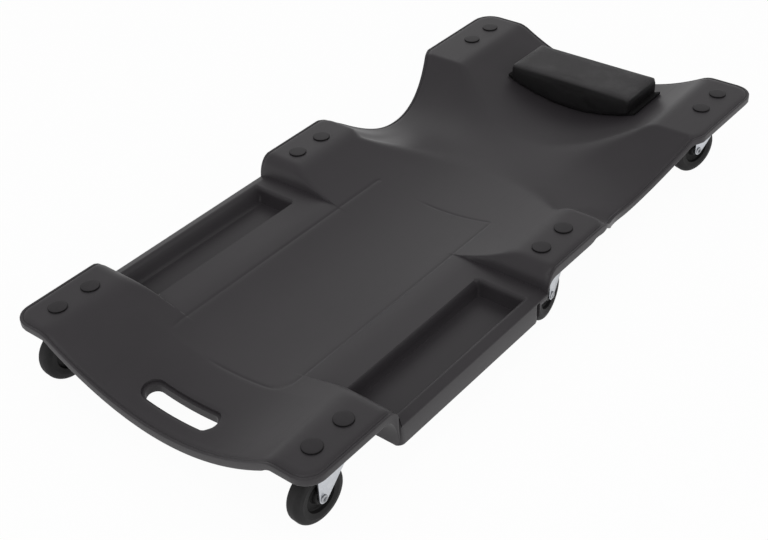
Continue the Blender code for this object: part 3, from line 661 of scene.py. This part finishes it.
def caster_frames():
    """Swivel place and heading, and wheel place, of each caster, read from the frame."""
    found = {}
    for name in CASTERS:
        low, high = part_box(f"kingpin_{name}")
        pin = (low + high) / 2
        low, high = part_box(f"wheel_{name}")
        hub = (low + high) / 2
        heading = math.atan2(hub.y - pin.y, hub.x - pin.x)
        turn = Matrix.Rotation(heading, 4, "Z")
        fork = Matrix.Translation((pin.x, pin.y, 0.0)) @ turn
        wheel = Matrix.Translation(hub) @ turn
        found[name] = {"fork": fork, "wheel": wheel, "trail": math.hypot(hub.y - pin.y, hub.x - pin.x)}
    return found


def make_wheel():
    """One moulding: rounded tread with a parting line, sidewall step, dished web and a chamfered hub."""
    half = [(WHEEL_RADIUS, 0.0), (WHEEL_RADIUS - 0.0001, 0.0012)]
    half += arc(WHEEL_RADIUS - TREAD_ROUND, 0.0033, TREAD_ROUND, 2, 78, 9)
    half += [(0.0290, 0.0101), (0.0282, 0.0103), (0.0274, 0.0100), (0.0222, 0.0099)]
    half += [(0.0210, 0.0093), (0.0200, 0.0052), (0.0188, 0.0040), (0.0160, 0.0036), (0.0118, 0.0040)]
    half += [(0.0104, 0.0055), (0.0095, 0.0100), (0.0088, 0.0108), (0.0062, 0.0110), (0.0048, 0.0108)]
    half += [(AXLE_BORE, 0.0102)]
    profile = [(px, -py) for px, py in half[:0:-1]] + half
    wheel = turned("wheel_model", profile + [profile[0]], 72, along_y=True)
    smooth(wheel, 30.0)
    mark_radius(wheel, WHEEL_RADIUS, (0, 2))
    return wheel


def make_axle():
    """Rivet with a rolled rim and a dimple at each end."""
    rim = [(0.0, -0.0014), (0.0022, -0.0012), (0.0026, 0.0010), (0.0031, 0.0015), (0.0040, 0.0014)]
    rim += [(0.0048, 0.0008), (0.0051, 0.0001), (0.0040, 0.0)]
    half = [(px, LEG_OUTER + HEAD_GAP + py) for px, py in rim]
    profile = half + [(px, -py) for px, py in half[::-1]]
    axle = turned("axle_model", profile, 36, along_y=True)
    smooth(axle, 40.0)
    return axle


def make_fork(trail):
    """Pressed fork: its side outline as a block with bent shoulders, hollowed, bored and given its race."""
    under = CROWN_TOP - FORK_SHEET
    eye = arc(trail, AXLE_Z, EYE_RADIUS, 0.0, -150.0, 16)
    back = [(-CROWN_BACK, under - FORK_SHEET), (-CROWN_BACK, CROWN_TOP)]
    fork = side_plate("fork_model", [(trail + EYE_RADIUS, CROWN_TOP)] + eye + back, LEG_OUTER)
    bend_shoulders(fork, CROWN_TOP, FORK_BEND, 5)
    start_clean()
    bpy.ops.mesh.primitive_cube_add(size=2.0, location=(0.0, 0.0, under - RACE_TOP))
    hollow = bpy.context.object
    hollow.scale = (2.0 * RACE_TOP, LEG_INNER, RACE_TOP)
    bpy.ops.object.transform_apply(location=True, rotation=True, scale=True)
    bend_shoulders(hollow, under, FORK_BEND_INSIDE, 4)
    cut(fork, hollow)
    bores = (((trail, 0.0, AXLE_Z), math.pi / 2, AXLE_BORE), ((0.0, 0.0, CROWN_TOP), 0.0, KINGPIN_BORE))
    for centre, tilt, radius in bores:
        start_clean()
        bpy.ops.mesh.primitive_cylinder_add(
            vertices=32, radius=radius, depth=4.0 * LEG_OUTER, location=centre, rotation=(tilt, 0.0, 0.0))
        cut(fork, bpy.context.object)
    apply_modifier(fork, "BEVEL", width=FORK_EDGE_ROUND, segments=2, limit_method="ANGLE",
                   angle_limit=math.radians(40.0), use_clamp_overlap=True)
    smooth(fork, 38.0)
    race = make_race()
    start_clean()
    race.select_set(True)
    fork.select_set(True)
    bpy.context.view_layer.objects.active = fork
    bpy.ops.object.join()
    return fork


def make_race():
    """Ball race on the fork's crown, sunk a little into it."""
    sunk = CROWN_TOP - RACE_SINK
    profile = [(KINGPIN_BORE, sunk), (RACE_RADIUS, sunk)]
    profile += arc(RACE_RADIUS - RACE_ROUND, RACE_TOP - RACE_ROUND, RACE_ROUND, 0.0, 90.0, 5)
    profile += [(KINGPIN_BORE, RACE_TOP), (KINGPIN_BORE, sunk)]
    race = turned("race_model", profile, 48)
    smooth(race, 40.0)
    return race


def make_bolt(shank_end):
    """Low domed head with an upright rim, on its shank; the origin is on the pad."""
    radius, height = BOLT_HEAD_RADIUS, BOLT_HEAD_HEIGHT
    dome = [(0.0, 1.0), (0.40, 0.98), (0.65, 0.945), (0.82, 0.90), (0.93, 0.84), (0.975, 0.77), (1.0, 0.64)]
    profile = [(out * radius, HEAD_GAP + up * height) for out, up in dome]
    profile += [(radius, HEAD_GAP), (BOLT_RADIUS, HEAD_GAP), (BOLT_RADIUS, -shank_end), (0.0, -shank_end)]
    bolt = turned("bolt_model", profile, 48)
    smooth(bolt, 50.0)
    mark_radius(bolt, radius, (0, 1))
    return bolt


# Pillow

def inflate(obj):
    """Air pressure on the cover, with the weight left out, and a cap on how far a point may move."""
    rest = coordinates(obj)
    cloth = obj.modifiers.new("Cloth", "CLOTH")
    cloth.settings.use_pressure = True
    cloth.settings.uniform_pressure_force = PILLOW_PRESSURE
    cloth.settings.effector_weights.gravity = 0.0
    cloth.point_cache.frame_start = 1
    cloth.point_cache.frame_end = PILLOW_FRAMES
    scene = bpy.context.scene
    for number in range(1, PILLOW_FRAMES + 1):
        scene.frame_set(number)
    choose(obj)
    bpy.ops.object.modifier_apply(modifier=cloth.name)
    scene.frame_set(1)
    moved = coordinates(obj) - rest
    far = np.linalg.norm(moved, axis=1)[:, None]
    moved *= np.tanh(far / PILLOW_SWELL) * PILLOW_SWELL / np.maximum(far, TOUCH)
    moved[:, 2] = np.maximum(moved[:, 2], 0.0)
    set_coordinates(obj, rest + moved)


def tightened(distance):
    """Distances from a face, drawn closer to it near the edges, so that the cover's edges are crisp."""
    return distance * (1.0 - 0.5 * np.exp(-distance / PILLOW_TIGHT))


def fit_cover(points, low, high):
    """Points of the cover, creased at its seam, fitted to its box and drawn down over the board."""
    centre = np.array((low + high) / 2)
    size = np.array(high - low)
    side = np.maximum(np.abs(points[:, 0] - centre[0]) / size[0], np.abs(points[:, 1]) / size[1])
    level = (points[:, 2] - high.z + PILLOW_SEAM_DROP) / PILLOW_SEAM_WIDTH
    seam = PILLOW_SEAM_DEPTH * np.exp(-level ** 2) * (side > PILLOW_SIDE_SHARE)
    away = points - centre
    away[:, 2] = 0.0
    away /= np.maximum(np.linalg.norm(away, axis=1), TOUCH)[:, None]
    points = points - away * seam[:, None]
    least, most = points.min(axis=0), points.max(axis=0)
    wanted_low, wanted_high = np.array(low), np.array(high) + (0.0, PILLOW_PROUD, PILLOW_CROWN)
    points = wanted_low + (points - least) / (most - least) * (wanted_high - wanted_low)
    points[:, :2] = wanted_low[:2] + tightened(points[:, :2] - wanted_low[:2])
    points = wanted_high - tightened(wanted_high - points)
    tall = high.z - PAD_TOP - plain_height(centre[0] - DECK_LOW.x, points[:, 1])
    points[:, 2] -= PILLOW_WRAP * (high.z - points[:, 2]) / tall
    return points


def make_pillow():
    """Foam block in a vinyl cover: the solid, shrunk, remeshed, inflated and fitted to its place."""
    low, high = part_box("pillow_cushion")
    pillow = bpy.data.objects.new("pillow_cover", nodes["pillow_cushion"].data.copy())
    bpy.context.scene.collection.objects.link(pillow)
    edit(pillow)
    tidy_faces()
    centre = np.array((low + high) / 2)
    size = np.array(high - low)
    points = coordinates(pillow)
    set_coordinates(pillow, centre + (points - centre) * (1.0 - 2.0 * PILLOW_SHRINK / size))
    apply_modifier(pillow, "REMESH", mode="VOXEL", voxel_size=PILLOW_VOXEL)
    inflate(pillow)
    apply_modifier(pillow, "SUBSURF", levels=1, render_levels=1)
    set_coordinates(pillow, fit_cover(coordinates(pillow), low, high))
    smooth(pillow, 60.0)
    return pillow


# Finishes

class Wire:
    """A value in a shader: arithmetic on it adds Math nodes."""

    def __init__(self, shading, socket):
        self.shading = shading
        self.socket = socket

    def math(self, operation, first, second):
        return self.shading.node("ShaderNodeMath", {"operation": operation}, {0: first, 1: second})

    def __add__(self, other):
        return self.math("ADD", self, other)

    def __sub__(self, other):
        return self.math("SUBTRACT", self, other)

    def __rsub__(self, other):
        return self.math("SUBTRACT", other, self)

    def __mul__(self, other):
        return self.math("MULTIPLY", self, other)

    __radd__ = __add__
    __rmul__ = __mul__


class Nodes:
    """The nodes of a material or of the world."""

    def __init__(self, owner):
        owner.use_nodes = True
        self.tree = owner.node_tree

    def node(self, kind, settings=None, sockets=None, output=0):
        """Add a node with its settings and the values or wires of its sockets; gives one of its outputs."""
        made = self.tree.nodes.new(kind)
        for name, value in (settings or {}).items():
            setattr(made, name, value)
        for key, value in (sockets or {}).items():
            self.feed(made.inputs[key], value)
        return Wire(self, made.outputs[output]) if made.outputs else None

    def feed(self, socket, value):
        if isinstance(value, Wire):
            self.tree.links.new(value.socket, socket)
        else:
            socket.default_value = value

    def ray(self, kind):
        """1 for rays of one kind, such as Camera or Glossy, and 0 for others."""
        return self.node("ShaderNodeLightPath", output=f"Is {kind} Ray")

    def band(self, value, low, high):
        """0 at low, 1 at high, level beyond them and a smooth change between."""
        return self.node("ShaderNodeMapRange", {"interpolation_type": "SMOOTHSTEP"},
                         {"Value": value, "From Min": low, "From Max": high})


class Finish(Nodes):
    """A material with one Principled shader, whose sockets are set or fed."""

    def __init__(self, name, **sockets):
        self.material = bpy.data.materials.new(name)
        super().__init__(self.material)
        self.shader = self.tree.nodes["Principled BSDF"]
        self.shade(**sockets)

    def shade(self, **values):
        """Set or feed the shader's sockets, named in lower case; gives the material."""
        for name, value in values.items():
            socket = name.replace("_", " ").title().replace("Ior", "IOR")
            self.feed(self.shader.inputs[socket], value)
        return self.material

    def place(self, stretch=(1.0, 1.0, 1.0)):
        """Where a point lies on the object, stretched along each axis."""
        point = self.node("ShaderNodeTexCoord", output="Object")
        return self.node("ShaderNodeMapping", None, {"Vector": point, "Scale": stretch})

    def noise(self, place, scale, detail):
        return self.node("ShaderNodeTexNoise", None, {"Vector": place, "Scale": scale, "Detail": detail})

    def tint(self, factor, first, second):
        """Colour between two others."""
        sockets = {0: factor, 6: (*first, 1.0), 7: (*second, 1.0)}
        return self.node("ShaderNodeMix", {"data_type": "RGBA"}, sockets, output=2)

    def bump(self, height, strength, distance):
        sockets = {"Height": height, "Strength": strength, "Distance": distance}
        return self.node("ShaderNodeBump", None, sockets)

    def from_axis(self):
        """Distance from the piece's own axis that was marked on its mesh."""
        return self.node("ShaderNodeAttribute", {"attribute_name": "from_axis"}, output="Fac")


def moulded_black():
    """Satin blow-moulded plastic: faint clouding, long rub marks, and a fine pebble in the skin."""
    f = Finish("deck_plastic", specular_ior_level=0.36)
    here = f.place()
    cloud = f.noise(here, 7.0, 4.0)
    rubs = f.band(f.noise(f.place((5.0, 70.0, 70.0)), 3.0, 3.0), 0.60, 0.78)
    pebble = f.noise(here, 480.0, 2.0)
    swell = f.noise(here, 38.0, 2.0)
    mix = f.band(cloud, 0.3, 0.7) * 0.8 + rubs * 0.2
    return f.shade(base_color=f.tint(mix, (0.0315, 0.0283, 0.0315), (0.0380, 0.0342, 0.0380)),
                   roughness=0.38 + cloud * 0.10 + rubs * 0.05,
                   normal=f.bump(pebble * 0.4 + swell * 0.6, 0.16, 0.0007))


def vinyl_cover(top):
    """Black vinyl: small leather grain, painted light that makes the top paler than the sides, and a little
    polish where the head lies.
    """
    f = Finish("pillow_vinyl", specular_ior_level=0.30, coat_roughness=0.35)
    here = f.place()
    grain = f.node("ShaderNodeTexVoronoi", {"feature": "DISTANCE_TO_EDGE"},
                   {"Vector": here, "Scale": 620.0})
    cloud = f.noise(here, 22.0, 3.0)
    polish = f.band(cloud, 0.45, 0.75)
    valley = f.band(grain, 0.0, 0.12)
    height = f.node("ShaderNodeSeparateXYZ", None, {"Vector": here}, output="Z")
    # Painted light: the top of the cover is coloured paler than its sides, as if lit from above.
    painted_top_light = f.band(height, top - PILLOW_TOP_LIGHT_DEPTH, top) * 0.7
    colour = f.tint(valley * 0.2 + cloud * 0.1 + painted_top_light, (0.0030, 0.0028, 0.0030), (0.031, 0.029, 0.031))
    return f.shade(base_color=colour, roughness=0.50 - polish * 0.10, coat_weight=polish * 0.10,
                   normal=f.bump(valley * 0.6 + cloud * 0.4, 0.25, 0.0005))


def fibre_board():
    """Black pressed board under the pillow."""
    f = Finish("pillow_board", specular_ior_level=0.2)
    fibre = f.noise(f.place((40.0, 400.0, 400.0)), 4.0, 4.0)
    colour = f.tint(fibre, (0.003, 0.003, 0.003), (0.008, 0.0076, 0.008))
    return f.shade(base_color=colour, roughness=0.72 + fibre * 0.12, normal=f.bump(fibre, 0.2, 0.0003))


def zinc_plate(name, pale, dark, rough):
    """Bright zinc plate: crystal patches, rolling marks and duller smudges."""
    f = Finish(name, metallic=1.0)
    here = f.place()
    spangle = f.node("ShaderNodeTexVoronoi", None, {"Vector": here, "Scale": 210.0}, output="Color")
    flake = f.node("ShaderNodeSeparateColor", None, {"Color": spangle})
    rolled = f.noise(f.place((30.0, 30.0, 600.0)), 5.0, 2.0)
    smudge = f.noise(here, 45.0, 3.0)
    mix = flake * 0.35 + rolled * 0.30 + smudge * 0.35
    return f.shade(base_color=f.tint(mix, dark, pale), roughness=rough + flake * 0.06 + smudge * 0.12,
                   normal=f.bump(rolled + flake * 0.3, 0.08, 0.0002))


def wheel_polymer():
    """Hard black wheel: dusty where it rolls, cleaner towards the hub, and darker there with painted shade in
    the recessed web.
    """
    f = Finish("wheel_polymer", specular_ior_level=0.28)
    here = f.place()
    radius = f.from_axis()
    grit = f.noise(here, 260.0, 3.0)
    smear = f.noise(here, 60.0, 3.0)
    tread = f.band(radius, 0.86, 0.97) * f.band(smear, 0.35, 0.7)
    # Painted shade: the recessed web inside the sidewall step is coloured darker.
    painted_recess_shade = 1.0 - f.band(radius, 0.62, 0.72)
    mix = f.band(smear, 0.25, 0.75) * 0.5 + tread * 0.5 - painted_recess_shade * 0.35
    return f.shade(base_color=f.tint(mix, (0.008, 0.0078, 0.008), (0.026, 0.025, 0.026)),
                   roughness=0.56 + tread * 0.16 + smear * 0.06, normal=f.bump(grit, 0.10, 0.0004))


def bolt_cap():
    """Black bolt heads: satin on top, with painted shade that darkens the rim where each head sits on the
    pad.
    """
    f = Finish("bolt_black", specular_ior_level=0.25)
    cloud = f.noise(f.place(), 60.0, 3.0)
    # Painted shade: the outer rim of each head is coloured nearly black, like the shadow in the gap under it.
    rim = f.band(f.from_axis(), 0.93, 0.99)
    unshaded = (1.0 - rim) * (f.band(cloud, 0.3, 0.7) * 0.2 + 0.8)
    return f.shade(base_color=f.tint(unshaded, (0.0045, 0.0042, 0.0045), (0.0290, 0.0264, 0.0290)),
                   roughness=rim * 0.25 + cloud * 0.10 + 0.42, normal=f.bump(cloud, 0.10, 0.0004))


def paint(obj, finish):
    obj.data.materials.clear()
    obj.data.materials.append(finish)


def install(obj, body, finish, slot, *replaced):
    """Give a piece its finish and its body, and hide the solids it stands for."""
    paint(obj, finish)
    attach(obj, body)
    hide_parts(*replaced)


# Studio

def make_camera():
    yaw, pitch, roll = (math.radians(a) for a in (CAMERA_YAW, CAMERA_PITCH, CAMERA_ROLL))
    ahead = Vector((math.cos(pitch) * math.cos(yaw), math.cos(pitch) * math.sin(yaw), -math.sin(pitch)))
    right = Vector((math.sin(yaw), -math.cos(yaw), 0.0))
    down = ahead.cross(right)
    across = math.cos(roll) * right + math.sin(roll) * down
    upward = math.sin(roll) * right - math.cos(roll) * down
    camera = bpy.data.objects.new("camera", bpy.data.cameras.new("camera"))
    bpy.context.scene.collection.objects.link(camera)
    turn = Matrix((across, upward, -ahead)).transposed().to_4x4()
    camera.matrix_world = Matrix.Translation(CAMERA_PLACE) @ turn
    camera.data.lens = CAMERA_LENS
    camera.data.sensor_width = CAMERA_SENSOR
    bpy.context.scene.camera = camera


def make_lamp(name, place, target, size, power):
    light = bpy.data.lights.new(name, "AREA")
    light.shape = "RECTANGLE"
    light.size, light.size_y = size
    light.energy = power
    obj = bpy.data.objects.new(name, light)
    bpy.context.scene.collection.objects.link(obj)
    obj.location = place
    obj.rotation_euler = (Vector(target) - Vector(place)).to_track_quat("-Z", "Y").to_euler()


def make_floor():
    """Pale floor: white for the eye, less so in reflections and in the light that it gives back."""
    start_clean()
    bpy.ops.mesh.primitive_plane_add(size=FLOOR_SIZE)
    floor = bpy.context.object
    floor.name = "studio_floor"
    material = bpy.data.materials.new("pale_floor")
    n = Nodes(material)
    n.tree.nodes.clear()
    share = n.ray("Camera") * FLOOR_WHITE + n.ray("Glossy") * FLOOR_SHINE + n.ray("Diffuse") * FLOOR_GLOW
    matte = n.node("ShaderNodeBsdfDiffuse", None, {"Color": FLOOR_COLOUR})
    white = n.node("ShaderNodeEmission", None, {"Color": WHITE})
    mix = n.node("ShaderNodeMixShader", None, {0: share, 1: matte, 2: white})
    n.node("ShaderNodeOutputMaterial", None, {"Surface": mix})
    paint(floor, material)


def make_world():
    """Even fill light, with a paler backdrop low down in reflections, and white for the eye."""
    world = bpy.data.worlds.new("studio")
    bpy.context.scene.world = world
    n = Nodes(world)
    n.tree.nodes.clear()
    way = n.node("ShaderNodeTexCoord", output="Generated")
    height = n.node("ShaderNodeSeparateXYZ", None, {"Vector": way}, output="Z")
    backdrop = n.band(height, BACKDROP_TOP, BACKDROP_FULL) * n.ray("Glossy")
    level = backdrop * BACKDROP_SHINE + SKY_FILL
    fill = n.node("ShaderNodeBackground", None, {"Color": WHITE, "Strength": level})
    white = n.node("ShaderNodeBackground", None, {"Color": WHITE, "Strength": FLOOR_WHITE})
    mix = n.node("ShaderNodeMixShader", None, {0: n.ray("Camera"), 1: fill, 2: white})
    n.node("ShaderNodeOutputWorld", None, {"Surface": mix})


def make_studio():
    make_camera()
    make_floor()
    make_world()
    for row in LAMPS:
        make_lamp(*row)
    bpy.context.scene.view_settings.view_transform = "Standard"


# Assembly

def dress_deck():
    install(make_deck(), "deck", moulded_black(), "deck", "deck")
    pillow = make_pillow()
    install(pillow, "deck", vinyl_cover(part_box("pillow_cushion")[1].z), "pillow", "pillow_cushion")
    paint(nodes["pillow_base"], fibre_board())


def fit_casters(model, piece, places, body, finish, slot, node):
    """A copy of the model on every caster, in place of that caster's own solid."""
    names = [f"{piece}_{name}" for name in CASTERS]
    for name, obj in zip(CASTERS, copies(model, names, places)):
        install(obj, f"{body}_{name}", finish, slot, f"{node}_{name}")


def fit_bolts(finish):
    bolts = [f"caster_bolt_{name}_{letter}" for name in CASTERS for letter in "ab"]
    boxes = [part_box(bolt) for bolt in bolts]
    spots = [Matrix.Translation((*((low + high) / 2).xy, PAD_TOP)) for low, high in boxes]
    model = make_bolt(PAD_TOP - boxes[0][0].z)
    for bolt, obj in zip(bolts, copies(model, [bolt.replace("caster", "cap") for bolt in bolts], spots)):
        install(obj, "deck", finish, "bolt", bolt)


def dress_casters():
    zinc = zinc_plate("fork_zinc", (0.78, 0.80, 0.83), (0.55, 0.57, 0.61), 0.26)
    dull = zinc_plate("rivet_zinc", (0.55, 0.56, 0.58), (0.34, 0.35, 0.37), 0.36)
    places = caster_frames()
    at_wheel = [places[name]["wheel"] for name in CASTERS]
    at_fork = [places[name]["fork"] for name in CASTERS]
    fork = make_fork(places[CASTERS[0]]["trail"])
    fit_casters(make_wheel(), "wheel_tyre", at_wheel, "wheel", wheel_polymer(), "wheel", "wheel")
    fit_casters(fork, "fork_pressing", at_fork, "swivel", zinc, "zinc", "caster_fork")
    fit_casters(make_axle(), "axle_rivet", at_wheel, "swivel", dull, "fastener", "wheel_axle")
    fit_bolts(bolt_cap())
    for name in CASTERS:
        paint(nodes[f"caster_plate_{name}"], zinc)
        paint(nodes[f"kingpin_{name}"], dull)
        for letter in "ab":
            paint(nodes[f"caster_nut_{name}_{letter}"], dull)
    for end in ("front", "rear"):
        paint(nodes[f"pillow_screw_{end}"], dull)


dress_deck()
dress_casters()
make_studio()
start_clean()
